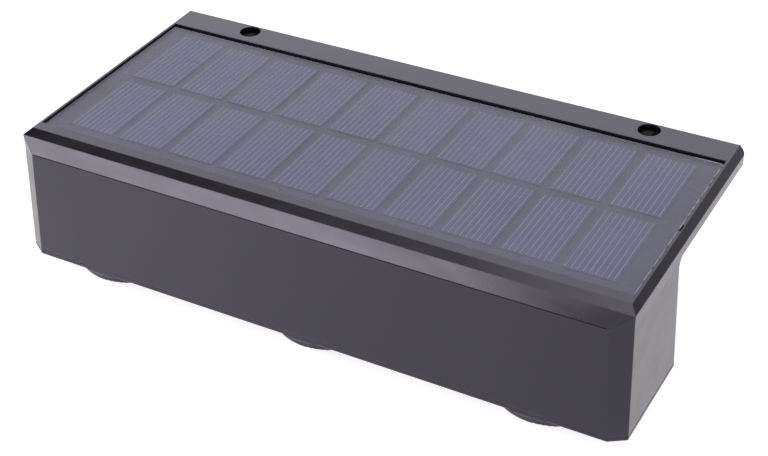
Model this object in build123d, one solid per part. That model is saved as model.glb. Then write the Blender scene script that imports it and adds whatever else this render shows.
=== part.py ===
from build123d import *
import math
import os

# Fence light. A moulded box hangs in front of a fence rail by a flange that lies on the rail.
# Its top is a solar panel, and three domed lenses under the box light the fence.
#
# Millimetres. X runs along the rail, Y towards the rail, Z up. The origin is midway between the two
# screw holes, on the underside of the flange.

# ---------------------------------------------------------------- driving sizes

# Housing, outside
width = 200.0               # over the flange and the top of the box
front_to_back = 87.8        # upper front edge to the back edge of the flange
flange_thickness = 4.1      # plain band round the flange
rim_height = 1.8            # raised rim round the panel
rim_bevel = 2.05            # the rim steps in by this at the sides
front_bevel = 2.45          # and by this at the front
front_reach = 3.63          # the front wall stands this far out of the upper front edge
front_slope = 3.5           # height of the slope above the front wall
corner_cut = 5.6            # cut front corners, measured along the width
box_depth = 33.6            # upper front edge to the back wall
box_drop = 36.65            # underside of the flange to the underside of the box
front_spread = 1.5          # the front wall leans out by this down to the underside
side_spread = 1.25          # the sides by this
corner_spread = 2.3         # and the cut corners by this
flange_corner = 2.2         # round back corners of the flange
flange_fillet = 2.5         # under the flange, at the back wall
box_corner = 1.0            # upright back edges of the box
wall = 2.0
past = 1.0                  # cuts run this far past the faces they open
near = 0.1                  # how closely an edge is picked by its place

# Screw holes in the flange
hole_inset = 29.0           # hole centre to the end of the flange
hole_margin = 3.9           # hole centre to the back edge
hole_radius = 2.1
head_radius = 3.5
head_depth = 2.4
head_cone = 1.2             # depth of the cone below the screw head's recess

# Solar panel
rim_flat = 0.8              # flat top of the rim at each side
front_strip = 3.65          # flat strip in front of the panel
back_strip = 10.1           # flat strip behind the panel, with the screw holes
panel_sink = 0.6            # panel's face below the rim
side_gap = 0.4
front_gap = 0.3
back_gap = 1.1
notch_place = 32.4          # notch in the recess's right side, from its front
notch_length = 3.0
notch_depth = 0.5
cover_sheet = 0.7
board_sheet = 1.2
glue_sheet = 0.3
glue_window = 1.5           # opening in the glue, past the grommet
terminal_length = 2.8
terminal_width = 2.0
cell_columns = 10
cell_rows = 2
cell_margin = 6.45          # cells to the panel's edge at the sides
cell_front_margin = 4.35
cell_back_margin = 3.45
cell_gap = 2.4
cell_row_gap = 3.2
cell_thickness = 0.25
cell_clearance = 0.1

# Bottom cover and its seal
cover_thickness = 1.6
cover_round = 0.5           # lower edges
cover_corner = 0.6          # upright edges at the cut corners
seam_groove_height = 0.3    # shadow line in the cover, under the housing
seam_groove_depth = 0.2
rib_gap = 0.2               # locating rib to the housing's inner wall
rib_width = 1.1
rib_height = 2.0
seal_width = 1.0
seal_height = 0.6

# Lamps
lamp_count = 3
lamp_inset = 27.0           # outer lamps to the ends of the box
lens_radius = 17.5
lens_wall = 2.0
lens_side = 3.1             # straight side of the lens below the underside
lens_drop = 7.0             # lowest point of the lens below the underside
lens_round = 0.6
lens_clearance = 0.1
collar_height = 3.2
collar_land = 0.7           # flat ring round the lens
collar_fillet = 1.8         # flare at its root
collar_round = 0.4          # its outer rim
lamp_opening = 14.0         # radius of the hole behind the lens
seat_ledge = 1.4            # thickness left behind the lens
lens_seal_thickness = 0.5
reflector_flange = 1.4
reflector_flange_height = 0.8
reflector_wall = 1.0
reflector_throat = 4.2
reflector_bow = 1.2         # the cup's side bows out by this each way
reflector_foot = 0.6        # flat of the flange outside the opening
led_size = 5.0
led_height = 1.4
led_window = 2.0            # radius of the yellow window
led_window_height = 0.2

# Lamp board
lamp_board_end = 13.0       # past the outer lamps
lamp_board_width = 18.0
board_thickness = 1.2
post_height = 9.0
post_radius = 2.5
post_gap = 2.6              # post to the reflector's flange

# Screws
cover_screw_inset = 6.0     # outer screws to the ends of the box
cover_screw_y = 12.5        # each side of the lamps' line
cover_screw_radius = 1.25
cover_screw_length = 8.0
cover_head_radius = 2.5
cover_head_height = 1.0
boss_radius = 2.8
boss_web = 1.2
pad_radius = 3.2
pad_height = 1.2
board_screw_radius = 0.8
board_screw_length = 5.0
board_head_radius = 1.8
board_head_height = 1.2
board_pilot = 0.7           # threaded holes run past the small screws' tips
cover_pilot = 1.0           # and past the cover screws' tips
screw_clearance = 0.05
free_clearance = 0.2        # round a screw that passes freely
head_clearance = 0.1

# Rechargeable cell and its cradle
battery_radius = 7.1
battery_length = 50.0
battery_inset = 60.0        # its middle to the left end of the box
nub_radius = 2.6
nub_length = 1.0
can_round = 0.5
battery_clearance = 0.3
tape_thickness = 1.0
tape_margin = 2.9           # the tape ends this far inside the cradle's ends
cradle_base = 1.5
cradle_side = 1.2
cradle_end = 1.5
cradle_skirt = 2.84         # its sides reach this far below the cell's axis
contact_sheet = 0.4
contact_width = 10.0
contact_margin = 1.0        # plate ends inside the cell's radius
contact_dimple = 1.2
dimple_tip = 1.0
dimple_base = 2.4
spring_length = 3.6
spring_radius = 3.2
spring_wire = 0.4
spring_turns = 2.5
spring_gap = 0.02           # between the coil and what it presses on
tag_width = 3.0
tag_drop = 3.0
tag_offset = 3.5            # tags stand this far on each side of the cell's axis

# Control board
control_reach = 37.0        # its middle to the panel's leads
control_length = 54.0
control_width = 18.0
control_drop = 5.0          # length of its bosses under the roof
control_boss_x = 21.0
control_boss_y = 6.3
chip_x = -4.0               # parts on the board, from its middle
chip_y = 4.5
chip_length = 5.0
chip_width = 4.0
chip_height = 1.6
chip_chamfer = 0.25
inductor_x = 6.0
inductor_y = -3.0
inductor_radius = 3.2
inductor_height = 4.5
inductor_core = 2.6
inductor_lip = 1.2
capacitor_x = 14.0
capacitor_y = 3.5
capacitor_radius = 2.5
capacitor_height = 7.0

# Push button
travel = 1.2
button_radius = 4.5
button_proud = 1.5          # stands out of the underside
button_flange = 1.1
button_flange_height = 0.8
button_round = 0.7
button_clearance = 0.07
button_seal_height = 0.4
button_seal_margin = 0.8    # the seal is wider than the button's flange
plunger_radius = 1.5
plunger_clearance = 0.08
switch_size = 8.5
switch_height = 5.0
switch_chamfer = 0.5
plunger_engaged = 2.6       # plunger inside the switch when it is not pressed
plunger_end_gap = 0.4       # left above the plunger when it is pressed

# Leads
lead_radius = 0.6
lead_bend = 5.9
lead_bend_short = 3.6
lead_straight = 0.2         # between the two bends of a panel lead
lead_slack = 2.0            # a panel lead hangs this far lower than its bend needs
lead_inset = 2.0            # from the end of the control board to the cell's leads
grommet_radius = 3.2
grommet_flange = 1.0
grommet_flange_height = 0.8
lead_pitch = 4.0            # between the two leads of a pair
entry_inset = 24.0          # panel's leads to the right end of the box
small_gap = 0.05
ribbon_top_x = -14.0        # four leads to the lamp board, from the control board's middle
ribbon_low_x = -9.0
ribbon_y = -7.6             # first of them, from the lamps' line
ribbon_pitch = 2.0
ribbon_end = 6.4            # straight length at each end

# ---------------------------------------------------------------- worked-out places

back_y = hole_margin
front_y = back_y - front_to_back
box_back_y = front_y + box_depth
box_front_y = front_y - front_reach
under_z = -box_drop
seam_z = under_z + cover_thickness
band_z = flange_thickness
rim_z = flange_thickness + rim_height
front_angle = math.degrees(math.atan(front_spread / box_drop))
side_angle = math.degrees(math.atan(side_spread / box_drop))
lamp_y = (box_front_y - front_spread + box_back_y) / 2
lamp_spacing = (width - 2 * lamp_inset) / (lamp_count - 1)
lamp_xs = [lamp_spacing * (i - (lamp_count - 1) / 2) for i in range(lamp_count)]
hole_xs = (hole_inset - width / 2, width / 2 - hole_inset)

recess_side = width / 2 - rim_bevel - rim_flat
recess_front = front_y + front_bevel + front_strip
recess_back = back_y - back_strip
panel_z = rim_z - panel_sink
board_top = panel_z - cover_sheet
board_bottom = board_top - board_sheet
recess_floor = board_bottom - glue_sheet
panel_side = recess_side - side_gap
panel_front = recess_front + front_gap
panel_back = recess_back - back_gap
cell_pitch = (2 * (panel_side - cell_margin) + cell_gap) / cell_columns
cell_width = cell_pitch - cell_gap
cell_front = panel_front + cell_front_margin
cell_row_pitch = (panel_back - cell_back_margin - cell_front + cell_row_gap) / cell_rows
cell_depth = cell_row_pitch - cell_row_gap

seat_z = seam_z - seat_ledge
lens_base_z = seat_z - lens_seal_thickness
lens_tip_z = under_z - lens_drop
collar_z = under_z - collar_height
lens_cap = lens_drop - lens_side
lens_dome = (lens_radius ** 2 + lens_cap ** 2) / (2 * lens_cap)
lens_centre_z = lens_tip_z + lens_dome

lamp_board_bottom = seam_z + post_height
lamp_board_top = lamp_board_bottom + board_thickness
lamp_board_length = lamp_spacing * (lamp_count - 1) + 2 * lamp_board_end
post_offset = lamp_spacing / 2 - lamp_opening - reflector_flange - post_gap - post_radius
cover_screw_x = (lamp_spacing / 2, width / 2 - cover_screw_inset)
post_xs = [side * (cover_screw_x[0] + post_offset * end) for side in (-1, 1) for end in (-1, 1)]
cover_screws_at = [(sx * x, lamp_y + sy * cover_screw_y)
                   for x in cover_screw_x for sx in (-1, 1) for sy in (-1, 1)]
boss_foot_z = seam_z + pad_height
cover_head_top = under_z + cover_head_height

cradle_top = -tape_thickness
cradle_floor = cradle_top - cradle_base
battery_z = cradle_floor - battery_clearance - battery_radius
battery_x = battery_inset - width / 2
battery_left = battery_x - battery_length / 2
battery_right = battery_x + battery_length / 2
positive_x = battery_right + contact_dimple
negative_x = battery_left - spring_length
contact_top = battery_z + battery_radius - contact_margin
contact_foot = battery_z - battery_radius + contact_margin
lead_z = contact_foot - tag_drop / 2
cradle_left = negative_x - contact_sheet - cradle_end
cradle_right = positive_x + contact_sheet + cradle_end

entry_x = width / 2 - entry_inset
control_x = entry_x - control_reach
control_top = -control_drop
control_bottom = control_top - board_thickness
control_bosses = [(control_x - control_boss_x, lamp_y + control_boss_y),
                  (control_x + control_boss_x, lamp_y - control_boss_y)]

button_x = cover_screw_x[0]
button_flange_z = seam_z + button_seal_height
button_top = button_flange_z + button_flange_height
switch_bottom = lamp_board_bottom - switch_height
switch_bore = plunger_engaged + travel + plunger_end_gap


# ---------------------------------------------------------------- helpers

def block(x0, x1, y0, y1, z0, z1):
    """A box between two corners."""
    centre = ((x0 + x1) / 2, (y0 + y1) / 2, (z0 + z1) / 2)
    return Pos(*centre) * Box(x1 - x0, y1 - y0, z1 - z0)


def rod(x, y, z0, z1, radius):
    """An upright cylinder between two heights."""
    return Pos(x, y, (z0 + z1) / 2) * Cylinder(radius, z1 - z0)


def rod_x(x0, x1, y, z, radius):
    """A cylinder along X."""
    return Pos((x0 + x1) / 2, y, z) * Rot(0, 90, 0) * Cylinder(radius, x1 - x0)


def turned(profile, x, y):
    """A body of revolution about an upright axis, from points or lines in radius and height."""
    face = make_face(Plane.XZ * profile)
    return Pos(x, y, 0) * revolve(face, Axis.Z)


def outside_corner(side, inset, lean):
    """Block outside a cut front corner, whose face is drawn in by the inset and leans out below."""
    across = Vector(side * front_reach, -corner_cut).normalized()
    start = Vector(side * width / 2, front_y) - across * inset
    face = Plane(origin=start, z_dir=across + Vector(0, 0, lean))
    return face * Pos(0, 0, width / 2) * Box(width, width, width)


def box_slab(inset, low, high):
    """The hanging box between two heights, drawn in from its walls by the inset."""
    half = width / 2 - inset
    prism = block(-half, half, box_front_y + inset, box_back_y - inset, 2 * under_z, 0)
    prism = draft(prism.faces().sort_by(Axis.Y)[0], Plane.XY, front_angle)
    ends = prism.faces().sort_by(Axis.X)
    prism = draft([ends[0], ends[-1]], Plane.XY, side_angle)
    for side in (-1, 1):
        prism -= outside_corner(side, inset, corner_spread / box_drop)
    return prism & block(-width, width, -width, width, low, high)


def round_back_corners(shape):
    """Rounds the long upright edges at the back wall."""
    on_back_wall = shape.edges().filter_by(lambda edge: abs(edge.center().Y - box_back_y) < near)
    upright = on_back_wall.filter_by(lambda edge: edge.bounding_box().size.Z > box_drop / 2)
    return fillet(upright, box_corner)


def quarter(start, end, centre):
    """Quarter of a circle about its centre."""
    middle = tuple(c + (a + b - 2 * c) * math.sqrt(0.5) for a, b, c in zip(start, end, centre))
    return ThreePointArc(start, middle, end)


def wire_run(points, bend):
    """A lead through the points, with tangent bends."""
    path = FilletPolyline(*points, radius=bend) if len(points) > 2 else Line(*points)
    start = Plane(origin=path @ 0, z_dir=path % 0)
    return sweep(start * Circle(lead_radius), path=path)


# ---------------------------------------------------------------- housing and cover

def housing_shell():
    """The outer form of flange and box, solid."""
    half = width / 2
    flange = block(-half, half, box_front_y, back_y, 0, rim_z)
    for side in (-1, 1):
        flange -= outside_corner(side, 0, 0)
    back_edges = flange.edges().filter_by(Axis.Z).group_by(Axis.Y)[-1]
    flange = fillet(back_edges, flange_corner)
    outer = flange + box_slab(0, under_z, 0)
    on_back_wall = outer.edges().filter_by(lambda edge: abs(edge.center().Y - box_back_y) < near)
    under_flange = on_back_wall.filter_by(Axis.X).group_by(Axis.Z)[-1]
    outer = fillet(under_flange, flange_fillet)
    outer = round_back_corners(outer)
    tool = make_face(Plane.XZ * Polyline(
        (half - rim_bevel, rim_z), (half, band_z), (half + past, band_z), (half + past, rim_z), close=True))
    side_bevel = extrude(tool, front_to_back * 2, both=True)
    outer = outer - side_bevel - mirror(side_bevel, Plane.YZ)
    front = make_face(Plane.YZ * Polyline(
        (box_front_y - past, band_z - front_slope), (box_front_y, band_z - front_slope),
        (front_y, band_z), (front_y + front_bevel, rim_z), (front_y + front_bevel, rim_z + past),
        (box_front_y - past, rim_z + past), close=True))
    outer = outer - extrude(front, width, both=True)
    return outer


def housing():
    outer = housing_shell()
    body = outer & block(-width, width, -width, width, seam_z, rim_z)
    body -= box_slab(wall, under_z, 0)
    body -= block(-recess_side, recess_side, recess_front, recess_back, recess_floor, rim_z + past)
    notch_front = recess_front + notch_place
    body -= block(0, recess_side + notch_depth, notch_front, notch_front + notch_length,
                  recess_floor, rim_z + past)
    for x in hole_xs:
        body -= screw_hole(x)
    body -= rod(entry_x, lamp_y, -past, recess_floor + past, grommet_radius + small_gap)
    for x, y in cover_screws_at:
        body += cover_boss(x, y)
    cover_hole_top = cover_head_top + cover_screw_length + cover_pilot
    for x, y in cover_screws_at:
        body -= rod(x, y, boss_foot_z - past, cover_hole_top, cover_screw_radius + screw_clearance)
    board_hole_top = control_bottom + board_screw_length + board_pilot
    for x, y in control_bosses:
        body += rod(x, y, control_top, 0, post_radius)
        body -= rod(x, y, control_top - past, board_hole_top, board_screw_radius + screw_clearance)
    return body


def screw_hole(x):
    """Through hole with a round recess and a cone for the screw's head."""
    top = rod(x, 0, rim_z - head_depth, rim_z + past, head_radius)
    cone_z = rim_z - head_depth - head_cone
    cone = Pos(x, 0, cone_z + head_cone / 2) * Cone(hole_radius, head_radius, head_cone)
    return top + cone + rod(x, 0, -past, rim_z, hole_radius)


def cover_boss(x, y):
    """Screw boss under the roof, tied to the nearest wall by a web."""
    boss = rod(x, y, boss_foot_z, 0, boss_radius)
    side = 1 if y > lamp_y else -1
    web = block(x - boss_web / 2, x + boss_web / 2, *sorted((y, y + side * box_depth)),
                seam_z + rib_height + rib_gap, 0)
    return boss + (web & box_slab(wall / 2, under_z, 0))


def collar(x):
    """Flared collar round a lens, from the underside down."""
    land = lens_radius + lens_clearance + collar_land
    foot = land + collar_fillet
    root = under_z - collar_fillet
    rim = land - collar_round
    rim_top = collar_z + collar_round
    outline = (Polyline((foot, under_z), (foot, seam_z), (0, seam_z), (0, collar_z), (rim, collar_z))
               + quarter((rim, collar_z), (land, rim_top), (rim, rim_top))
               + Line((land, rim_top), (land, root))
               + quarter((land, root), (foot, under_z), (foot, root)))
    return turned(outline, x, lamp_y)


def bottom_cover():
    plate = round_back_corners(box_slab(0, under_z, 0))
    upright = plate.edges().filter_by(lambda edge: edge.bounding_box().size.Z > box_drop / 2)
    plate = fillet(upright.filter_by(lambda edge: edge.center().Y < front_y + past), cover_corner)
    plate = fillet(plate.edges().group_by(Axis.Z)[0], cover_round)
    plate &= block(-width, width, -width, width, under_z, seam_z)
    groove_foot = seam_z - seam_groove_height
    plate -= box_slab(-past, groove_foot, seam_z) - box_slab(seam_groove_depth, groove_foot, seam_z)
    trim = box_slab(0, collar_z, seam_z)
    for x in lamp_xs:
        plate += collar(x) & trim
    rib_inset = wall + rib_gap
    rib = box_slab(rib_inset, seam_z, seam_z + rib_height)
    rib -= box_slab(rib_inset + rib_width, seam_z, seam_z + rib_height)
    for x, y in cover_screws_at:
        rib -= rod(x, y, seam_z, 0, boss_radius + rib_gap)
    plate += rib
    groove_inset = (wall - seal_width) / 2
    plate -= seal_ring(groove_inset)
    for x, y in cover_screws_at:
        plate += rod(x, y, seam_z, boss_foot_z, pad_radius)
    post_hole_foot = lamp_board_top - board_screw_length - board_pilot
    for x in post_xs:
        plate += rod(x, lamp_y, seam_z, lamp_board_bottom, post_radius)
        plate -= rod(x, lamp_y, post_hole_foot, lamp_board_bottom + past,
                     board_screw_radius + screw_clearance)
    for x, y in cover_screws_at:
        plate -= rod(x, y, under_z - past, boss_foot_z + past, cover_screw_radius + free_clearance)
        plate -= rod(x, y, under_z - past, cover_head_top, cover_head_radius + head_clearance)
    for x in lamp_xs:
        plate -= rod(x, lamp_y, seat_z - past, seam_z + past, lamp_opening)
        plate -= rod(x, lamp_y, collar_z - past, seat_z, lens_radius + lens_clearance)
    plate -= rod(button_x, lamp_y, under_z - past, seam_z + past, button_radius + button_clearance)
    return plate


def seal_ring(inset):
    """Ring in the cover under the housing's wall."""
    outer = box_slab(inset, seam_z - seal_height, seam_z)
    return outer - box_slab(inset + seal_width, seam_z - seal_height, seam_z)


def cover_screws():
    screws = []
    for x, y in cover_screws_at:
        shank = rod(x, y, cover_head_top, cover_head_top + cover_screw_length, cover_screw_radius)
        head = rod(x, y, under_z, cover_head_top, cover_head_radius)
        screws.append(head + shank)
    return screws


# ---------------------------------------------------------------- solar panel

def cell_centres():
    for row in range(cell_rows):
        for column in range(cell_columns):
            x = (column - (cell_columns - 1) / 2) * cell_pitch
            y = cell_front + cell_depth / 2 + row * cell_row_pitch
            yield x, y


def cell_block(x, y, grow):
    half_x = cell_width / 2 + grow
    half_y = cell_depth / 2 + grow
    return block(x - half_x, x + half_x, y - half_y, y + half_y, board_top, board_top + cell_thickness)


def solar_cells():
    return [cell_block(x, y, 0) for x, y in cell_centres()]


def panel_cover():
    sheet = block(-panel_side, panel_side, panel_front, panel_back, board_top, panel_z)
    for x, y in cell_centres():
        sheet -= cell_block(x, y, cell_clearance)
    return sheet


def panel_board():
    return block(-panel_side, panel_side, panel_front, panel_back, board_bottom, board_top)


def panel_adhesive():
    sheet = block(-panel_side, panel_side, panel_front, panel_back, recess_floor, board_bottom)
    window = grommet_radius + glue_window
    return sheet - block(entry_x - window, entry_x + window, lamp_y - window, lamp_y + window,
                         recess_floor, board_bottom)


def panel_terminals():
    tabs = []
    for side in (-1, 1):
        y = lamp_y + side * lead_pitch / 2
        tabs.append(block(entry_x - terminal_length / 2, entry_x + terminal_length / 2,
                          y - terminal_width / 2, y + terminal_width / 2,
                          board_bottom - glue_sheet / 2, board_bottom))
    return tabs


def lead_grommet():
    plug = rod(entry_x, lamp_y, 0, recess_floor, grommet_radius)
    plug += rod(entry_x, lamp_y, -grommet_flange_height, 0, grommet_radius + grommet_flange)
    for side in (-1, 1):
        y = lamp_y + side * lead_pitch / 2
        plug -= rod(entry_x, y, -grommet_flange_height - past, recess_floor + past, lead_radius + small_gap)
    return plug


# ---------------------------------------------------------------- lamps

def on_dome(sphere, radius):
    """Point of the lens's outer or inner dome, in radius and height."""
    return (radius, lens_centre_z - math.sqrt(sphere ** 2 - radius ** 2))


def lens(x):
    """Domed shell with a short straight side."""
    inner_radius = lens_radius - lens_wall
    inner_dome = lens_dome - lens_wall
    edge = on_dome(lens_dome, lens_radius)
    inner_edge = on_dome(inner_dome, inner_radius)
    outline = (ThreePointArc((0, lens_tip_z), on_dome(lens_dome, lens_radius / 2), edge)
               + Polyline(edge, (lens_radius, lens_base_z), (inner_radius, lens_base_z), inner_edge)
               + ThreePointArc(inner_edge, on_dome(inner_dome, inner_radius / 2),
                               (0, lens_tip_z + lens_wall))
               + Line((0, lens_tip_z + lens_wall), (0, lens_tip_z)))
    shell = turned(outline, x, lamp_y)
    rim = shell.edges().filter_by(GeomType.CIRCLE).filter_by_position(
        Axis.Z, edge[1] - near, edge[1] + near)
    return fillet(rim, lens_round)


def lens_seals():
    rings = []
    for x in lamp_xs:
        ring = rod(x, lamp_y, lens_base_z, seat_z, lens_radius)
        rings.append(ring - rod(x, lamp_y, lens_base_z, seat_z, lens_radius - lens_wall))
    return rings


def reflector(x):
    """Cup that widens from the light source to the hole behind the lens."""
    top = lamp_board_bottom
    flange_top = seam_z + reflector_flange_height
    rim = lamp_opening + reflector_flange
    mean_radius = (lamp_opening + reflector_throat) / 2
    inner_mid = (mean_radius + reflector_bow, (seam_z + top) / 2 + reflector_bow)
    slant = reflector_wall * math.sqrt(0.5)
    outer_mid = (inner_mid[0] + slant, inner_mid[1] + slant)
    foot = lamp_opening + reflector_foot
    throat = reflector_throat + reflector_wall
    outline = (Line((lamp_opening, seam_z), (rim, seam_z))
               + Polyline((rim, seam_z), (rim, flange_top), (foot, flange_top))
               + ThreePointArc((foot, flange_top), outer_mid, (throat, top))
               + Line((throat, top), (reflector_throat, top))
               + ThreePointArc((reflector_throat, top), inner_mid, (lamp_opening, seam_z)))
    return turned(outline, x, lamp_y)


def led(x):
    half = led_size / 2
    chip_bottom = lamp_board_bottom - led_height
    window_top = chip_bottom + led_window_height
    body = block(x - half, x + half, lamp_y - half, lamp_y + half, window_top, lamp_board_bottom)
    return body + rod(x, lamp_y, chip_bottom, window_top, led_window)


def led_board():
    half = lamp_board_length / 2
    board = block(-half, half, lamp_y - lamp_board_width / 2, lamp_y + lamp_board_width / 2,
                  lamp_board_bottom, lamp_board_top)
    for x in post_xs:
        board -= rod(x, lamp_y, lamp_board_bottom, lamp_board_top, board_screw_radius + free_clearance)
    return board


def board_screw(x, y, seat, direction):
    """Small screw whose head lies on the seat, the shank pointing up (1) or down (-1)."""
    head = rod(x, y, *sorted((seat, seat - direction * board_head_height)), board_head_radius)
    shank = rod(x, y, *sorted((seat, seat + direction * board_screw_length)), board_screw_radius)
    return head + shank


def led_board_screws():
    return [board_screw(x, lamp_y, lamp_board_top, -1) for x in post_xs]


# ---------------------------------------------------------------- rechargeable cell

def battery_cell():
    can = rod_x(battery_left, battery_right - nub_length, lamp_y, battery_z, battery_radius)
    can = fillet(can.edges(), can_round)
    return can + rod_x(battery_right - 2 * nub_length, battery_right, lamp_y, battery_z, nub_radius)


def battery_holder():
    """Cradle open downwards, with a wall at each end and two low sides."""
    half = battery_radius + battery_clearance + cradle_side
    cradle = block(cradle_left, cradle_right, lamp_y - half, lamp_y + half, cradle_floor, cradle_top)
    for x in (cradle_left, cradle_right - cradle_end):
        cradle += block(x, x + cradle_end, lamp_y - half, lamp_y + half, contact_foot, cradle_floor)
    for side in (-1, 1):
        inner = lamp_y + side * (half - cradle_side)
        outer = lamp_y + side * half
        cradle += block(cradle_left, cradle_right, min(inner, outer), max(inner, outer),
                        battery_z - cradle_skirt, cradle_floor)
    return cradle


def battery_tape():
    return block(cradle_left + tape_margin, cradle_right - tape_margin,
                 lamp_y - battery_radius, lamp_y + battery_radius, -tape_thickness, 0)


def contact(x0, x1, side):
    """Contact plate with a solder tag below it."""
    half = contact_width / 2
    tag_y = lamp_y + side * tag_offset
    plate = block(x0, x1, lamp_y - half, lamp_y + half, contact_foot, contact_top)
    return plate + block(x0, x1, tag_y - tag_width / 2, tag_y + tag_width / 2,
                         contact_foot - tag_drop, contact_foot)


def battery_contact_positive():
    plate = contact(positive_x, positive_x + contact_sheet, 1)
    dimple = Pos(battery_right + contact_dimple / 2, lamp_y, battery_z) * Rot(0, 90, 0)
    return plate + dimple * Cone(dimple_tip, dimple_base, contact_dimple)


def battery_contact_negative():
    return contact(negative_x - contact_sheet, negative_x, -1)


def battery_spring():
    """Coil between the negative plate and the cell."""
    gap = spring_wire + spring_gap
    height = spring_length - 2 * gap
    axis_start = (negative_x + gap, lamp_y, battery_z)
    coil = Helix(pitch=height / spring_turns, height=height, radius=spring_radius,
                 center=axis_start, direction=(1, 0, 0))
    section = Plane(origin=coil @ 0, z_dir=coil % 0) * Circle(spring_wire)
    return sweep(section, path=coil, is_frenet=True)


# ---------------------------------------------------------------- control board

def control_board():
    half_x = control_length / 2
    half_y = control_width / 2
    board = block(control_x - half_x, control_x + half_x, lamp_y - half_y, lamp_y + half_y,
                  control_bottom, control_top)
    for x, y in control_bosses:
        board -= rod(x, y, control_bottom, control_top, board_screw_radius + free_clearance)
    return board


def control_board_screws():
    return [board_screw(x, y, control_bottom, 1) for x, y in control_bosses]


def control_chip():
    x = control_x + chip_x
    y = lamp_y + chip_y
    chip = block(x - chip_length / 2, x + chip_length / 2, y - chip_width / 2, y + chip_width / 2,
                 control_bottom - chip_height, control_bottom)
    return chamfer(chip.edges().group_by(Axis.Z)[0], chip_chamfer)


def boost_inductor():
    """Ferrite bobbin with a lip at each end."""
    x = control_x + inductor_x
    y = lamp_y + inductor_y
    foot = control_bottom - inductor_height
    lips = rod(x, y, foot, foot + inductor_lip, inductor_radius)
    lips += rod(x, y, control_bottom - inductor_lip, control_bottom, inductor_radius)
    return lips + rod(x, y, foot, control_bottom, inductor_core)


def storage_capacitor():
    can = rod(control_x + capacitor_x, lamp_y + capacitor_y,
              control_bottom - capacitor_height, control_bottom, capacitor_radius)
    return fillet(can.edges().group_by(Axis.Z)[0], can_round)


# ---------------------------------------------------------------- push button

def switch_body():
    half = switch_size / 2
    case = block(button_x - half, button_x + half, lamp_y - half, lamp_y + half,
                 switch_bottom, lamp_board_bottom)
    case = chamfer(case.edges().group_by(Axis.Z)[0], switch_chamfer)
    return case - rod(button_x, lamp_y, switch_bottom, switch_bottom + switch_bore,
                      plunger_radius + plunger_clearance)


def switch_plunger():
    return rod(button_x, lamp_y, button_top, switch_bottom + plunger_engaged, plunger_radius)


def button_cap():
    tip = under_z - button_proud
    cap = rod(button_x, lamp_y, tip, button_flange_z, button_radius)
    cap = fillet(cap.edges().group_by(Axis.Z)[0], button_round)
    return cap + rod(button_x, lamp_y, button_flange_z, button_top, button_radius + button_flange)


def button_seal():
    outer_radius = button_radius + button_flange + button_seal_margin
    ring = rod(button_x, lamp_y, seam_z, button_flange_z, outer_radius)
    return ring - rod(button_x, lamp_y, seam_z, button_flange_z, button_radius + button_clearance)


# ---------------------------------------------------------------- leads

def panel_lead(side):
    y = lamp_y + side * lead_pitch / 2
    end_x = entry_x - 2 * lead_bend - lead_straight
    low = control_bottom - lead_bend - lead_slack
    points = [(entry_x, y, board_bottom - glue_sheet / 2), (entry_x, y, low), (end_x, y, low),
              (end_x, y, control_bottom)]
    return wire_run(points, lead_bend)


def battery_lead(start_x, side):
    y = lamp_y + side * tag_offset
    end_x = control_x - control_length / 2 + lead_inset
    return wire_run([(start_x, y, lead_z), (end_x, y, lead_z), (end_x, y, control_bottom)], lead_bend)


def board_lead(place):
    """Lead from the control board down to the lamp board."""
    y = lamp_y + ribbon_y + place * ribbon_pitch
    high_x = control_x + ribbon_top_x
    low_x = control_x + ribbon_low_x
    points = [(high_x, y, control_bottom), (high_x, y, control_bottom - ribbon_end),
              (low_x, y, lamp_board_top + ribbon_end), (low_x, y, lamp_board_top)]
    return wire_run(points, lead_bend_short)


# ---------------------------------------------------------------- nodes

lens_names = ("left", "centre", "right")
nodes = {
    "housing": housing(),
    "panel_board": panel_board(),
    "solar_cells": solar_cells(),
    "panel_cover": panel_cover(),
    "panel_adhesive": panel_adhesive(),
    "panel_terminals": panel_terminals(),
    "lead_grommet": lead_grommet(),
    "bottom_cover": bottom_cover(),
    "cover_gasket": seal_ring((wall - seal_width) / 2),
    "cover_screws": cover_screws(),
    "lens_seals": lens_seals(),
    "led_board": led_board(),
    "led_board_screws": led_board_screws(),
    "battery_cell": battery_cell(),
    "battery_holder": battery_holder(),
    "battery_tape": battery_tape(),
    "battery_contact_positive": battery_contact_positive(),
    "battery_contact_negative": battery_contact_negative(),
    "battery_spring": battery_spring(),
    "control_board": control_board(),
    "control_chip": control_chip(),
    "boost_inductor": boost_inductor(),
    "storage_capacitor": storage_capacitor(),
    "control_board_screws": control_board_screws(),
    "switch_body": switch_body(),
    "switch_plunger": switch_plunger(),
    "button_cap": button_cap(),
    "button_seal": button_seal(),
    "panel_lead_positive": panel_lead(1),
    "panel_lead_negative": panel_lead(-1),
    "battery_lead_positive": battery_lead(positive_x + contact_sheet, 1),
    "battery_lead_negative": battery_lead(negative_x, -1),
    "lamp_lead_positive": board_lead(0),
    "lamp_lead_negative": board_lead(1),
    "switch_lead_a": board_lead(2),
    "switch_lead_b": board_lead(3),
}
for name, x in zip(lens_names, lamp_xs):
    nodes["lens_" + name] = lens(x)
    nodes["reflector_" + name] = reflector(x)
    nodes["led_" + name] = led(x)

os.makedirs("parts", exist_ok=True)
for name, shape in nodes.items():
    if isinstance(shape, list):
        shape = Compound(children=shape)
    export_step(shape, f"parts/{name}.step")
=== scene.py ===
import math
import random

import bmesh
import bpy
from mathutils import Matrix, Vector


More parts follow.
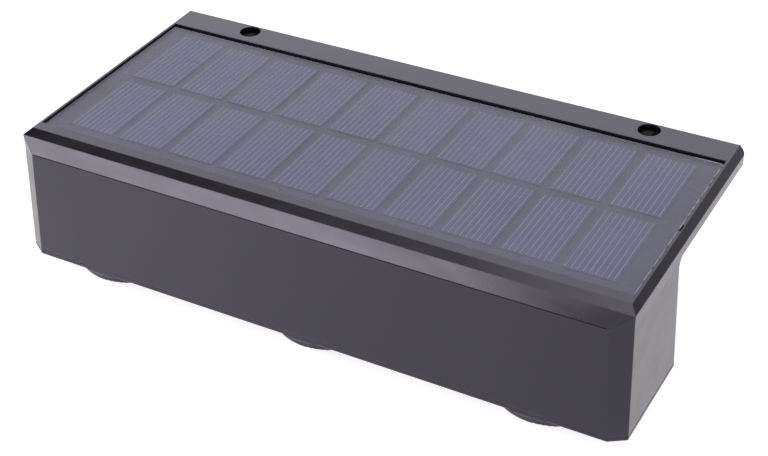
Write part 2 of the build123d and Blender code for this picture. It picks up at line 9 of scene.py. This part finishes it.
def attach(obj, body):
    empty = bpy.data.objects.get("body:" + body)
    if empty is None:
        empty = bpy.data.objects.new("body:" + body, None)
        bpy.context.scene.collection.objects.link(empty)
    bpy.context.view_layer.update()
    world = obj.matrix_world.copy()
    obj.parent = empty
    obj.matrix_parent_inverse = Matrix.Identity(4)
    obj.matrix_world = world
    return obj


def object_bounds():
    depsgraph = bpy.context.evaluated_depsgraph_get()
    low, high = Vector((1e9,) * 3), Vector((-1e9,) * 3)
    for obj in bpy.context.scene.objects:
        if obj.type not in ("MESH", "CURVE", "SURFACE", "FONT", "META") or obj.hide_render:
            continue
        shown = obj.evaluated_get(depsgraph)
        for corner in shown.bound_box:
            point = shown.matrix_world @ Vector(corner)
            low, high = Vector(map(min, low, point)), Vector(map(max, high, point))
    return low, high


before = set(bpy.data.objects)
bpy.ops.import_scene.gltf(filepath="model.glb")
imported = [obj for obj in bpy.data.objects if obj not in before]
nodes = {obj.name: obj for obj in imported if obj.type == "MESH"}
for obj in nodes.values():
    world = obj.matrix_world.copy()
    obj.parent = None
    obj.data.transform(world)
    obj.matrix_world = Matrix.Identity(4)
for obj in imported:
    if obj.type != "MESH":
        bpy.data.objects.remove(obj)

# Metres, in the frame of the CAD: X along the rail, Y towards the rail, Z up.

MM = 0.001

# Printed faces of the cells and of the board, which lie in the laminate.
FACE_FOOT = 0.002 * MM          # underside of a printed face, above the CAD's face
FACE_TOP = 0.02 * MM            # and its upper side

# Painted shade along the parting gap under the front slope. Each pair is where its mask begins to
# fade and where it ends.
LINE_HEIGHT = 0.45 * MM
LINE_WIDTH = (0.08 * MM, 0.17 * MM)         # above and below that height
LINE_REACH = (93.6 * MM, 93.9 * MM)         # to each side of the middle
LINE_BACK = (-80.1 * MM, -80 * MM)          # only the front wall lies before this

# Painted shade deep inside the two screw recesses, in pairs of the same kind.
SCREW_X = 71 * MM
RECESS_WIDTH = (3.7 * MM, 3.8 * MM)         # round the middle of a hole
RECESS_MOUTH = (4.6 * MM, 5.6 * MM)         # upwards
RECESS_FLOOR = (0.1 * MM, 0.5 * MM)         # downwards: nought at the first, full at the second

GROUND_GAP = 0.2 * MM           # between the lowest point of the part and the ground
CEILING = 1.25                  # height of the lights and cards over the part

cad_box = [list(corner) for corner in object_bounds()]


# ---------------------------------------------------------------- camera

def make_camera():
    """Camera fitted to the edges of the box, flange and panel in the photo."""
    data = bpy.data.cameras.new("camera")
    data.sensor_width = 36
    data.lens = 75.393
    camera = bpy.data.objects.new("camera", data)
    bpy.context.scene.collection.objects.link(camera)
    right = Vector((0.87570, 0.48205, -0.02786))
    up = Vector((-0.25738, 0.51482, 0.81774))
    back = Vector((0.40854, -0.70893, 0.57491))
    place = Matrix((right, up, back)).transposed().to_4x4()
    place.translation = Vector((205.88, -395.09, 261.20)) * MM
    camera.matrix_world = place
    bpy.context.scene.camera = camera


# ---------------------------------------------------------------- node helpers

class Nodes:
    """Short calls for making the nodes of a tree."""

    def __init__(self, tree):
        self.tree = tree
        self.place = None

    def feed(self, socket, value):
        """Links a socket to another, or sets its constant."""
        if isinstance(value, bpy.types.NodeSocket):
            self.tree.links.new(value, socket)
        elif socket.type == "RGBA":
            socket.default_value = (*value, 1)
        else:
            socket.default_value = value

    def node(self, kind, inputs=None, **settings):
        """A new node with its settings, and with links or constants at its inputs."""
        made = self.tree.nodes.new(kind)
        for key, value in settings.items():
            setattr(made, key, value)
        for key, value in (inputs or {}).items():
            self.feed(made.inputs[key], value)
        return made

    def coords(self, stretch=(1, 1, 1)):
        """Object coordinates in metres, which are the CAD's own."""
        if self.place is None:
            self.place = self.node("ShaderNodeTexCoord").outputs["Object"]
        if stretch == (1, 1, 1):
            return self.place
        return self.node("ShaderNodeMapping", {"Scale": stretch, "Vector": self.place}).outputs[0]

    def axes(self):
        """Object coordinates as three sockets, X, Y and Z."""
        return self.node("ShaderNodeSeparateXYZ", {0: self.coords()}).outputs

    def calc(self, operation, *values):
        """Result of one operation on numbers or sockets."""
        return self.node("ShaderNodeMath", dict(enumerate(values)), operation=operation).outputs[0]

    def map(self, value, low, high, from_low=0.3, from_high=0.7):
        """Goes from low to high as the value goes from from_low to from_high."""
        return self.node("ShaderNodeMapRange", {
            "Value": value, "From Min": from_low, "From Max": from_high,
            "To Min": low, "To Max": high}).outputs["Result"]


class Build(Nodes):
    """A new material and the nodes before its shader."""

    def __init__(self, name):
        self.material = bpy.data.materials.new(name)
        self.material.use_nodes = True
        super().__init__(self.material.node_tree)
        self.shader = self.tree.nodes["Principled BSDF"]

    def noise(self, size_mm, detail=3.0, stretch=(1, 1, 1), rough=0.5):
        return self.node("ShaderNodeTexNoise", {
            "Scale": 1 / (size_mm * MM), "Detail": detail, "Roughness": rough,
            "Vector": self.coords(stretch)}).outputs["Fac"]

    def blend(self, fac, first, second):
        """Mix of two colours, each a colour or a socket."""
        return self.node("ShaderNodeMix", {"Factor": fac, 6: first, 7: second},
                         data_type="RGBA").outputs[2]

    def clouds(self, size_mm, detail, dark, pale, rough=0.5):
        """A colour that drifts between two others in clouds of that size."""
        return self.blend(self.map(self.noise(size_mm, detail, rough=rough), 0, 1), dark, pale)

    def product(self, *factors):
        result = factors[0]
        for factor in factors[1:]:
            result = self.calc("MULTIPLY", result, factor)
        return result

    def parting_gap_shade(self):
        """One along the painted shade of the parting gap under the front slope, nought elsewhere.
        """
        axes = self.axes()
        away = self.calc("ABSOLUTE", self.calc("SUBTRACT", axes["Z"], LINE_HEIGHT))
        return self.product(self.map(away, 1, 0, *LINE_WIDTH),
                            self.map(axes["Y"], 1, 0, *LINE_BACK),
                            self.map(self.calc("ABSOLUTE", axes["X"]), 1, 0, *LINE_REACH))

    def recess_shade(self):
        """One where the deep inside of the two screw recesses has painted shade, nought elsewhere.
        """
        axes = self.axes()
        spot = self.node("ShaderNodeCombineXYZ", {
            "X": self.calc("ABSOLUTE", axes["X"]), "Y": axes["Y"]}).outputs[0]
        away = self.node("ShaderNodeVectorMath", {0: spot, 1: (SCREW_X, 0, 0)},
                         operation="DISTANCE").outputs["Value"]
        return self.product(self.map(away, 1, 0, *RECESS_WIDTH),
                            self.map(axes["Z"], 1, 0, *RECESS_MOUTH),
                            self.map(axes["Z"], 0, 1, *RECESS_FLOOR))

    def colour(self, socket):
        self.feed(self.shader.inputs["Base Color"], socket)

    def rough(self, socket):
        self.feed(self.shader.inputs["Roughness"], socket)

    def bump(self, layers, edge_mm=0.0):
        """Bump from (height, strength, depth in mm) layers, over edges softened by edge_mm."""
        below = {}
        if edge_mm:
            bevel = self.node("ShaderNodeBevel", {"Radius": edge_mm * MM}, samples=6)
            below = {"Normal": bevel.outputs["Normal"]}
        for height, strength, depth_mm in layers:
            made = self.node("ShaderNodeBump", {
                "Strength": strength, "Distance": depth_mm * MM, "Height": height, **below})
            below = {"Normal": made.outputs["Normal"]}
        self.feed(self.shader.inputs["Normal"], below["Normal"])

    def fixed(self, **values):
        """Sets constants on the shader and gives the finished material."""
        for name, value in values.items():
            self.feed(self.shader.inputs[name.replace("_", " ")], value)
        return self.material


# ---------------------------------------------------------------- materials

def moulded_plastic(name, dark, pale, roughness):
    """Satin black plastic with a fine grain, faint flow mottling, slightly worn edges and painted
    shade in the front parting gap and screw recesses.
    """
    b = Build(name)
    flow = b.noise(9, 3, stretch=(0.5, 1, 1.6))
    grain = b.noise(0.7, 3, rough=0.6)
    # Painted shade: near black and without shine along the parting gap and deep in the screw
    # recesses.
    painted_shade = b.calc("MAXIMUM", b.parting_gap_shade(), b.map(b.recess_shade(), 0, 0.8, 0, 1))
    b.colour(b.blend(painted_shade, b.clouds(22, 4, dark, pale, rough=0.6), (0.002, 0.002, 0.003)))
    b.feed(b.shader.inputs["Specular IOR Level"], b.map(painted_shade, 0.5, 0.0, 0, 1))
    b.rough(b.map(flow, roughness - 0.04, roughness + 0.05))
    b.bump([(b.noise(34, 2), 0.3, 0.04), (grain, 0.5, 0.012)], edge_mm=0.3)
    return b.fixed(IOR=1.61, Specular_Tint=(0.84, 0.80, 1.0))


def cell_material():
    """Blue-grey silicon under laminate, with a faint crystal mottling."""
    b = Build("silicon_cell")
    crystals = b.node("ShaderNodeTexVoronoi", {
        "Scale": 1 / (2.6 * MM), "Vector": b.coords((1, 0.45, 1))}).outputs["Distance"]
    base = b.clouds(26, 3, (0.060, 0.063, 0.225), (0.076, 0.081, 0.265))
    b.colour(b.blend(b.map(crystals, 0.0, 0.3, 0.0, 1.0), base, (0.086, 0.092, 0.285)))
    b.rough(b.map(b.noise(14, 3), 0.22, 0.32))
    b.bump([(b.noise(11, 2), 0.2, 0.01)])
    return b.fixed(IOR=1.5)


def board_material():
    """Dark backing board, seen between the cells and round them."""
    b = Build("panel_board_backing")
    b.colour(b.clouds(15, 4, (0.026, 0.027, 0.048), (0.034, 0.034, 0.058)))
    b.rough(b.map(b.noise(8, 3), 0.24, 0.34))
    b.bump([(b.noise(12, 2), 0.2, 0.01)])
    return b.fixed(IOR=1.5)


def laminate_material():
    """Clear hard laminate, hazy and pale partly as a painted sheen of the room mirrored in it, with
    fine wipe marks.
    """
    b = Build("panel_laminate")
    haze_and_sheen = b.noise(30, 4, rough=0.6)
    wipes = b.noise(5, 3, stretch=(0.15, 1, 1))
    # Pale hazy colour and alpha: partly a faint clouding of the laminate, partly a painted sheen of
    # the room mirrored in it.
    b.colour(b.blend(b.map(haze_and_sheen, 0, 1), (0.215, 0.210, 0.310), (0.250, 0.245, 0.355)))
    b.feed(b.shader.inputs["Alpha"], b.map(haze_and_sheen, 0.40, 0.50))
    b.rough(b.map(wipes, 0.20, 0.30))
    b.bump([(b.noise(13, 2), 0.2, 0.012)])
    return b.fixed(IOR=1.5)


def finger_material():
    """Silver paste of the collector lines."""
    b = Build("collector_silver")
    b.colour(b.clouds(6, 4, (0.62, 0.62, 0.80), (0.74, 0.74, 0.90)))
    b.rough(b.map(b.noise(2, 2), 0.3, 0.5))
    return b.fixed(IOR=1.5)


def rubber(name, dark, pale, roughness=0.6):
    """Dull soft material: rubber, foam or set glue."""
    b = Build(name)
    b.colour(b.clouds(4, 3, dark, pale))
    b.rough(b.map(b.noise(2, 3), roughness - 0.06, roughness + 0.06))
    b.bump([(b.noise(0.3, 2), 0.3, 0.01)])
    return b.fixed(IOR=1.5)


def glossy(name, dark, pale, roughness, bump_mm=0.004, grain_mm=1.5):
    """Plain plastic, lacquer or ferrite with a slight grain."""
    b = Build(name)
    b.colour(b.clouds(6, 3, dark, pale))
    b.rough(b.map(b.noise(3, 3), roughness - 0.05, roughness + 0.05))
    b.bump([(b.noise(grain_mm, 3), 0.4, bump_mm)])
    return b.fixed(IOR=1.5)


def metal(name, dark, pale, roughness):
    """Metal with fine turned marks."""
    b = Build(name)
    marks = b.noise(0.4, 4)
    b.colour(b.clouds(5, 3, dark, pale))
    b.rough(b.map(marks, roughness - 0.08, roughness + 0.1))
    b.bump([(marks, 0.3, 0.006)])
    return b.fixed(Metallic=1.0)


def lens_material():
    """Clear moulded plastic, faintly frosted inside."""
    b = Build("lens_clear")
    b.colour(b.clouds(9, 3, (0.76, 0.77, 0.78), (0.84, 0.85, 0.86)))
    b.feed(b.shader.inputs["Alpha"], b.map(b.noise(9, 2), 0.52, 0.60))
    b.rough(b.map(b.noise(1.2, 3), 0.14, 0.22))
    b.bump([(b.noise(9, 2), 0.2, 0.01)])
    return b.fixed(IOR=1.49)


def sleeve_material():
    """Shrunk plastic sleeve of the cell, with faint lengthwise creases."""
    b = Build("cell_sleeve")
    creases = b.noise(0.8, 3, stretch=(0.08, 1, 1))
    b.colour(b.clouds(12, 3, (0.02, 0.13, 0.26), (0.03, 0.18, 0.33)))
    b.rough(b.map(creases, 0.22, 0.36))
    b.bump([(creases, 0.4, 0.03)])
    return b.fixed(IOR=1.5)


def board_green():
    """Green board lacquer over faint tracks."""
    b = Build("board_green")
    tracks = b.node("ShaderNodeTexVoronoi", {"Scale": 1 / (4.0 * MM), "Vector": b.coords()},
                    distance="MANHATTAN", feature="DISTANCE_TO_EDGE").outputs["Distance"]
    lines = b.map(tracks, 1, 0, 0.06, 0.09)
    b.colour(b.blend(lines, (0.008, 0.075, 0.028), (0.02, 0.14, 0.05)))
    b.rough(b.map(b.noise(3, 3), 0.25, 0.4))
    b.bump([(lines, 0.4, 0.03)])
    return b.fixed(IOR=1.5)


def dress():
    """Gives every CAD node its material."""
    housing = moulded_plastic("housing_black",
                              (0.0145, 0.0125, 0.0160), (0.0185, 0.0160, 0.0200), 0.20)
    cover = moulded_plastic("cover_black",
                            (0.0150, 0.0130, 0.0165), (0.0190, 0.0165, 0.0205), 0.22)
    seal = rubber("seal_rubber", (0.012, 0.012, 0.013), (0.020, 0.020, 0.021))
    button = rubber("button_rubber", (0.016, 0.016, 0.018), (0.026, 0.026, 0.028), 0.5)
    lens = lens_material()
    white = glossy("reflector_white", (0.74, 0.74, 0.71), (0.80, 0.80, 0.78), 0.25)
    lamp_board = glossy("lamp_board_white", (0.70, 0.70, 0.66), (0.77, 0.77, 0.74), 0.35)
    led = glossy("led_yellow", (0.80, 0.55, 0.10), (0.86, 0.64, 0.16), 0.3)
    screw = metal("screw_zinc", (0.46, 0.46, 0.47), (0.60, 0.60, 0.62), 0.34)
    contact = metal("contact_nickel", (0.60, 0.59, 0.56), (0.72, 0.71, 0.68), 0.28)
    chip = glossy("chip_black", (0.014, 0.014, 0.015), (0.024, 0.024, 0.025), 0.45, 0.01, 0.4)
    ferrite = glossy("ferrite", (0.05, 0.05, 0.052), (0.08, 0.08, 0.083), 0.5, 0.02, 0.5)
    red = glossy("lead_red", (0.42, 0.015, 0.012), (0.52, 0.025, 0.02), 0.4)
    black = glossy("lead_black", (0.014, 0.014, 0.015), (0.022, 0.022, 0.023), 0.4)
    pale = glossy("lead_white", (0.66, 0.66, 0.65), (0.74, 0.74, 0.73), 0.4)
    chosen = {
        "housing": housing, "bottom_cover": cover, "panel_board": board_material(),
        "solar_cells": cell_material(), "panel_cover": laminate_material(),
        "panel_adhesive": rubber("glue_milky", (0.50, 0.50, 0.48), (0.60, 0.60, 0.57), 0.4),
        "panel_terminals": contact, "lead_grommet": seal, "cover_gasket": seal,
        "lens_seals": seal, "cover_screws": screw, "led_board_screws": screw,
        "control_board_screws": screw, "led_board": lamp_board,
        "battery_cell": sleeve_material(),
        "battery_holder": glossy("cradle_black", (0.02, 0.02, 0.022), (0.028, 0.028, 0.03), 0.45),
        "battery_tape": rubber("foam_tape", (0.62, 0.62, 0.60), (0.72, 0.72, 0.70), 0.8),
        "battery_contact_positive": contact, "battery_contact_negative": contact,
        "battery_spring": contact, "control_board": board_green(), "control_chip": chip,
        "boost_inductor": ferrite,
        "storage_capacitor": metal("can_aluminium", (0.72, 0.72, 0.74), (0.80, 0.80, 0.82), 0.3),
        "switch_body": chip, "switch_plunger": pale, "button_cap": button, "button_seal": seal,
        "switch_lead_a": pale, "switch_lead_b": pale,
    }
    for lead in ("panel_lead_", "battery_lead_", "lamp_lead_"):
        chosen[lead + "positive"] = red
        chosen[lead + "negative"] = black
    for side in ("left", "centre", "right"):
        chosen["lens_" + side] = lens
        chosen["reflector_" + side] = white
        chosen["led_" + side] = led
    for name, node in nodes.items():
        node.data.materials.clear()
        node.data.materials.append(chosen[name])


# ---------------------------------------------------------------- pieces

def new_piece(name, bm, material, body, smooth=False):
    """Makes a piece of the scene's own, which rides a body."""
    mesh = bpy.data.meshes.new(name)
    bm.to_mesh(mesh)
    bm.free()
    if smooth:
        for face in mesh.polygons:
            face.use_smooth = True
    piece = bpy.data.objects.new(name, mesh)
    bpy.context.scene.collection.objects.link(piece)
    mesh.materials.append(material)
    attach(piece, body)


def strip(bm, x0, x1, y0, y1, z0, z1, draw):
    """A closed thin strip whose long upper edges are drawn in by a share of its width."""
    inset = (x1 - x0) * draw
    low, high = (
        [bm.verts.new((x, y, z)) for x, y in ((left, y0), (right, y0), (right, y1), (left, y1))]
        for left, right, z in ((x0, x1, z0), (x0 + inset, x1 - inset, z1)))
    bm.faces.new(low[::-1])
    bm.faces.new(high)
    for i in range(4):
        j = (i + 1) % 4
        bm.faces.new((low[i], low[j], high[j], high[i]))


def tube(bm, points, radii):
    """A closed bead through the points, as thick at each as its radius says."""
    sides = 8
    rings = []
    for i, (point, radius) in enumerate(zip(points, radii)):
        ahead = (points[min(i + 1, len(points) - 1)] - points[max(i - 1, 0)]).normalized()
        across = ahead.cross(Vector((0, 0, 1))).normalized()
        rise = across.cross(ahead)
        rings.append([bm.verts.new(point + radius * (math.cos(a) * across + math.sin(a) * rise))
                      for a in (2 * math.pi * k / sides for k in range(sides))])
    for first, second in zip(rings, rings[1:]):
        for k in range(sides):
            j = (k + 1) % sides
            bm.faces.new((first[k], second[k], second[j], first[j]))
    bm.faces.new(rings[0])
    bm.faces.new(rings[-1][::-1])
    bmesh.ops.recalc_face_normals(bm, faces=bm.faces)


def extent(points):
    """Lowest and highest corner of the box round some points."""
    return [[pick(point[i] for point in points) for i in range(3)] for pick in (min, max)]


def box_of(name):
    """Lowest and highest corner of a CAD node, from its own mesh."""
    return extent([vert.co for vert in nodes[name].data.vertices])


def cell_boxes():
    """Lowest and highest corner of each cell, from the CAD's own mesh."""
    bm = bmesh.new()
    bm.from_mesh(nodes["solar_cells"].data)
    bmesh.ops.remove_doubles(bm, verts=bm.verts, dist=1e-6)
    left = set(bm.verts)
    boxes = []
    while left:
        island, edge = set(), [next(iter(left))]
        while edge:
            vert = edge.pop()
            if vert not in island:
                island.add(vert)
                edge.extend(e.other_vert(vert) for e in vert.link_edges)
        left -= island
        boxes.append(extent([vert.co for vert in island]))
    bm.free()
    return sorted(boxes)


def printed_face(bm, low, high, draw):
    """Printed face on top of a box, inside the laminate that is pressed on it."""
    strip(bm, low[0], high[0], low[1], high[1], high[2] + FACE_FOOT, high[2] + FACE_TOP, draw)


def board_face():
    """Printed face of the board."""
    low, high = box_of("panel_board")
    bm = bmesh.new()
    printed_face(bm, low, high, 0)
    new_piece("board_face", bm, nodes["panel_board"].data.materials[0], "lamp")


def cell_faces():
    """Printed face of every cell."""
    bm = bmesh.new()
    for low, high in cell_boxes():
        printed_face(bm, low, high, 0.02)
    new_piece("cell_faces", bm, nodes["solar_cells"].data.materials[0], "lamp")


def collector_fingers():
    """Fine light lines printed on every cell, front to back."""
    lines, width, height = 9, 0.21 * MM, 0.02 * MM
    margin = 0.35 * MM              # from the ends of a line to the edge of its cell
    random.seed(5)
    bm = bmesh.new()
    for low, high in cell_boxes():
        pitch = (high[0] - low[0]) / (lines + 0.03)
        middle = (low[0] + high[0]) / 2
        foot = high[2] + FACE_TOP
        for i in range(lines):
            x = middle + (i - (lines - 1) / 2) * pitch
            half = width / 2 * random.uniform(0.85, 1.15)
            strip(bm, x - half, x + half, low[1] + margin, high[1] - margin,
                  foot, foot + height, 0.2)
    new_piece("collector_fingers", bm, finger_material(), "lamp")


def glue_and_glint():
    """Squeezed-out glue along the panel's right edge and its back corner, broken here and there,
    and pale enough to paint the glint of the laminate's edge as well.
    """
    low, high = box_of("panel_cover")
    side, top = high[0] - 0.02 * MM, high[2] - 0.02 * MM
    back = high[1] - 0.03 * MM
    ring_step, corner_length = 0.7, 9       # millimetres
    random.seed(11)
    bm = bmesh.new()
    y, end = low[1] + 1.0 * MM, high[1] - 0.5 * MM
    while y < end:
        stop = min(y + random.uniform(2.5, 9.0) * MM, end)
        count = max(4, int((stop - y) / (ring_step * MM)))
        points, radii = [], []
        for i in range(count + 1):
            t = i / count
            x = side + random.uniform(-0.03, 0.03) * MM
            points.append(Vector((x, y + (stop - y) * t, top)))
            taper = min(1.0, 5 * t, 5 * (1 - t))
            radii.append((0.04 + 0.14 * taper * random.uniform(0.6, 1.2)) * MM)
        tube(bm, points, radii)
        gap = random.choice((0.1, 0.2, 0.9)) * MM
        y = stop + gap
    steps = range(corner_length + 1)
    points = [Vector((high[0] - (corner_length - i) * MM, back, top)) for i in steps]
    tube(bm, points, [(0.03 + 0.09 * min(1, 0.3 * i)) * MM for i in steps])
    # Pale glossy colour: clear glue, and partly a painted glint along the laminate's edge.
    material = glossy("glue_and_glint_clear", (0.40, 0.40, 0.43), (0.62, 0.62, 0.65), 0.25)
    new_piece("glue_and_glint", bm, material, "lamp", smooth=True)


# ---------------------------------------------------------------- stage

def bare_nodes(owner):
    """The emptied node tree of a material or a world."""
    owner.use_nodes = True
    owner.node_tree.nodes.clear()
    return Nodes(owner.node_tree)


def new_sheet(name, corners, material_name):
    """A sheet with four corners, and the emptied nodes of its material."""
    mesh = bpy.data.meshes.new(name)
    mesh.from_pydata(corners, [], [(0, 1, 2, 3)])
    sheet = bpy.data.objects.new(name, mesh)
    bpy.context.scene.collection.objects.link(sheet)
    material = bpy.data.materials.new(material_name)
    mesh.materials.append(material)
    return sheet, bare_nodes(material)


def ray_mix(b, seen, unseen):
    """Shows one shader to camera, glossy and transmission rays, and the other to the rest."""
    rays = b.node("ShaderNodeLightPath").outputs
    shown = b.calc("MAXIMUM", rays["Is Camera Ray"], rays["Is Glossy Ray"])
    shown = b.calc("MAXIMUM", shown, rays["Is Transmission Ray"])
    return b.node("ShaderNodeMixShader", {0: shown, 1: unseen, 2: seen}).outputs[0]


def make_floor():
    """White ground, which glows to camera and reflections and is plain and matt as a reflector."""
    reach, z = 6.0, cad_box[0][2] - GROUND_GAP
    corners = [(-reach, -reach, z), (reach, -reach, z), (reach, reach, z), (-reach, reach, z)]
    floor, b = new_sheet("floor", corners, "floor_white")
    matt = b.node("ShaderNodeBsdfDiffuse", {"Color": (0.60, 0.60, 0.60)}).outputs[0]
    # In reflections the ground before the front wall fades to the right, as the photo's wall does.
    axes = b.axes()
    to_right = b.map(axes["X"], 0.10, -0.28, -0.11, 0.09)
    before_wall = b.map(axes["Y"], 1.0, 0.0, -0.100, -0.090)
    mirrored = b.calc("MULTIPLY_ADD", to_right, before_wall, 0.88)
    looked_at = 0.86
    is_glossy = b.node("ShaderNodeLightPath").outputs["Is Glossy Ray"]
    strength = b.node("ShaderNodeMix", {0: is_glossy, 2: looked_at, 3: mirrored}).outputs[0]
    glow = b.node("ShaderNodeEmission", {"Color": (1.0, 0.975, 1.02), "Strength": strength})
    both = b.node("ShaderNodeAddShader", {0: matt, 1: glow.outputs[0]}).outputs[0]
    # From below the floor is clear, so that the underside can be looked at.
    below = b.node("ShaderNodeNewGeometry").outputs["Backfacing"]
    clear = b.node("ShaderNodeBsdfTransparent").outputs[0]
    surface = b.node("ShaderNodeMixShader", {0: below, 1: ray_mix(b, both, matt), 2: clear})
    b.node("ShaderNodeOutputMaterial", {"Surface": surface.outputs[0]})


def make_world():
    """White to camera and reflections, dim as a source of light."""
    world = bpy.data.worlds.new("world")
    bpy.context.scene.world = world
    b = bare_nodes(world)
    white = b.node("ShaderNodeBackground", {"Color": (1.0, 0.98, 1.05), "Strength": 1.0})
    dim = b.node("ShaderNodeBackground", {"Strength": 0.30})
    surface = ray_mix(b, white.outputs[0], dim.outputs[0])
    b.node("ShaderNodeOutputWorld", {"Surface": surface})


def make_flag(name, corners, start, end, first, last):
    """Dim card seen only in reflections, whose glow goes from first to last between two X."""
    flag, b = new_sheet(name, corners, name)
    strength = b.map(b.axes()["X"], first, last, start, end)
    glow = b.node("ShaderNodeEmission", {"Strength": strength})
    b.node("ShaderNodeOutputMaterial", {"Surface": glow.outputs[0]})
    flag.visible_camera = flag.visible_diffuse = False
    flag.visible_transmission = flag.visible_shadow = False


def make_flags():
    """Dark stretches of the room, which the rim and the right end of the slope mirror."""
    for name, x0, x1, y0, y1, grade in (
            ("flag_front", -2.4, -0.40, -0.88, -0.15, (-0.95, -0.45, 0.0, 0.50)),
            ("flag_end", -0.44, 0.60, -1.90, -0.90, (-0.44, -0.30, 0.80, 0.12))):
        corners = [(x0, y0, CEILING), (x0, y1, CEILING), (x1, y1, CEILING), (x1, y0, CEILING)]
        make_flag(name, corners, *grade)
    x0, x1, y, z0, z1 = 0.75, 2.0, 1.55, 0.35, 1.05
    corners = [(x0, y, z0), (x0, y, z1), (x1, y, z1), (x1, y, z0)]
    make_flag("flag_right", corners, 1.10, 1.32, 0.60, 0.30)


def softbox(name, corner, along, down, radiance, colour=(1, 1, 1)):
    """Area light from a corner and two edges, which shines towards along x down."""
    corner, along, down = Vector(corner), Vector(along), Vector(down)
    data = bpy.data.lights.new(name, "AREA")
    data.shape = "RECTANGLE"
    data.size = along.length
    data.size_y = down.length
    data.energy = radiance * math.pi * data.size * data.size_y
    data.color = colour
    light = bpy.data.objects.new(name, data)
    bpy.context.scene.collection.objects.link(light)
    x_axis = along.normalized()
    y_axis = -down.normalized()
    place = Matrix((x_axis, y_axis, x_axis.cross(y_axis))).transposed().to_4x4()
    place.translation = corner + (along + down) / 2
    light.matrix_world = place
    light.visible_camera = False


def make_light():
    """Warm key at the front left with a dim end, a soft top and a back light."""
    softbox("key", (-1.85, -0.92, CEILING), (1.31, 0, 0), (0, -0.85, 0), 5.1, (1.0, 0.985, 0.92))
    softbox("key_end", (-0.54, -0.92, CEILING), (0.07, 0, 0), (0, -0.85, 0), 1.6)
    softbox("top", (-0.40, 0.22, CEILING), (1.5, 0, 0), (0, -1.1, 0), 1.2)
    softbox("back", (0.15, 1.6, 1.85), (-2.4, 0, 0), (0, 0, -1.3), 0.58)


# ---------------------------------------------------------------- scene

make_camera()
dress()
board_face()
cell_faces()
collector_fingers()
glue_and_glint()
make_floor()
make_world()
make_flags()
make_light()
bpy.context.scene.view_settings.view_transform = "Standard"
